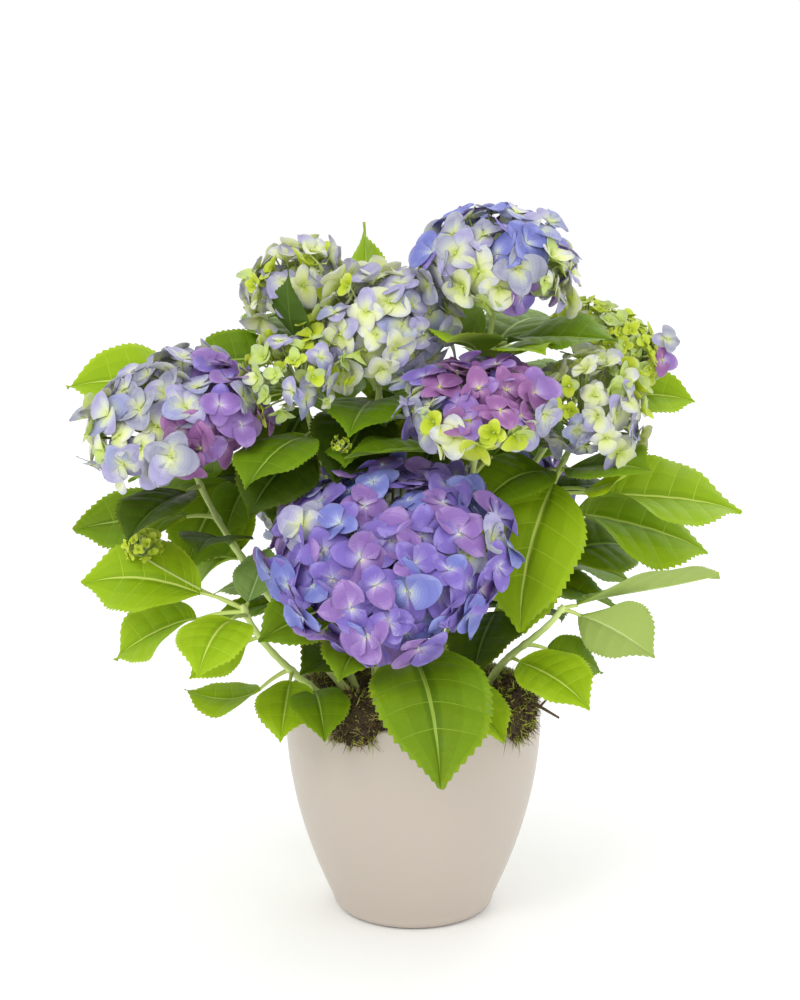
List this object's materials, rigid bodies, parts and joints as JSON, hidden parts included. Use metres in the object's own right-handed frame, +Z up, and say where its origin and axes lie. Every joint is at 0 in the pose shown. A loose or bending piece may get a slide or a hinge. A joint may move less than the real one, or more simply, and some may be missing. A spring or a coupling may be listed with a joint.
{
  "type": "potted hydrangea shrub",
  "caption": "Flowering hydrangea shrub with round heads of violet, lilac and cream-green blossom above broad toothed leaves, growing in a plain rounded ceramic pot.",
  "frame": {"origin": "centre of the pot's flat underside", "axes": "+Z up, -Y to the front where the largest flower head leans out, +X to the viewer's right"},
  "size_m": [0.5357, 0.4077, 0.5616],
  "materials": {
    "pot": "satin",
    "soil": "matte",
    "moss": "matte",
    "cane": "satin",
    "leaf": "satin",
    "petal_violet": "matte",
    "petal_purple": "matte",
    "petal_lilac": "matte",
    "petal_cream": "matte",
    "petal_lime": "matte"
  },
  "bodies": {
    "root": {"pot": "pot", "soil": "soil", "moss": "moss", "cane_front": "cane", "cane_left": "cane", "cane_low_left": "cane", "cane_mid_left": "cane", "cane_back_left": "cane", "cane_upper_left": "cane", "cane_small": "cane", "cane_top": "cane", "cane_mid_purple": "cane", "cane_mid_cream": "cane", "cane_low_right": "cane", "cane_far_right": "cane", "cane_mid_rear": "cane", "cane_rear_left": "cane", "cane_rear_right": "cane", "leafy_shoot_front": "leaf", "leafy_shoot_left": "leaf", "leafy_shoot_low_left": "leaf", "leafy_shoot_mid_left": "leaf", "leafy_shoot_back_left": "leaf", "leafy_shoot_upper_left": "leaf", "leafy_shoot_small": "leaf", "leafy_shoot_top": "leaf", "leafy_shoot_mid_purple": "leaf", "leafy_shoot_mid_cream": "leaf", "leafy_shoot_low_right": "leaf", "leafy_shoot_far_right": "leaf", "leafy_shoot_mid_rear": "leaf", "leafy_shoot_rear_left": "leaf", "leafy_shoot_rear_right": "leaf", "flower_head_front": "petal_violet", "flower_head_left": "petal_lilac", "flower_head_back_left": "petal_cream", "flower_head_upper_left": "petal_cream", "flower_head_small": "petal_lime", "flower_head_top": "petal_violet", "flower_head_mid_purple": "petal_purple", "flower_head_mid_cream": "petal_cream", "flower_head_far_right": "petal_lime", "flower_head_rear_left": "petal_lilac", "flower_head_rear_right": "petal_violet"}
  },
  "joints": []
}
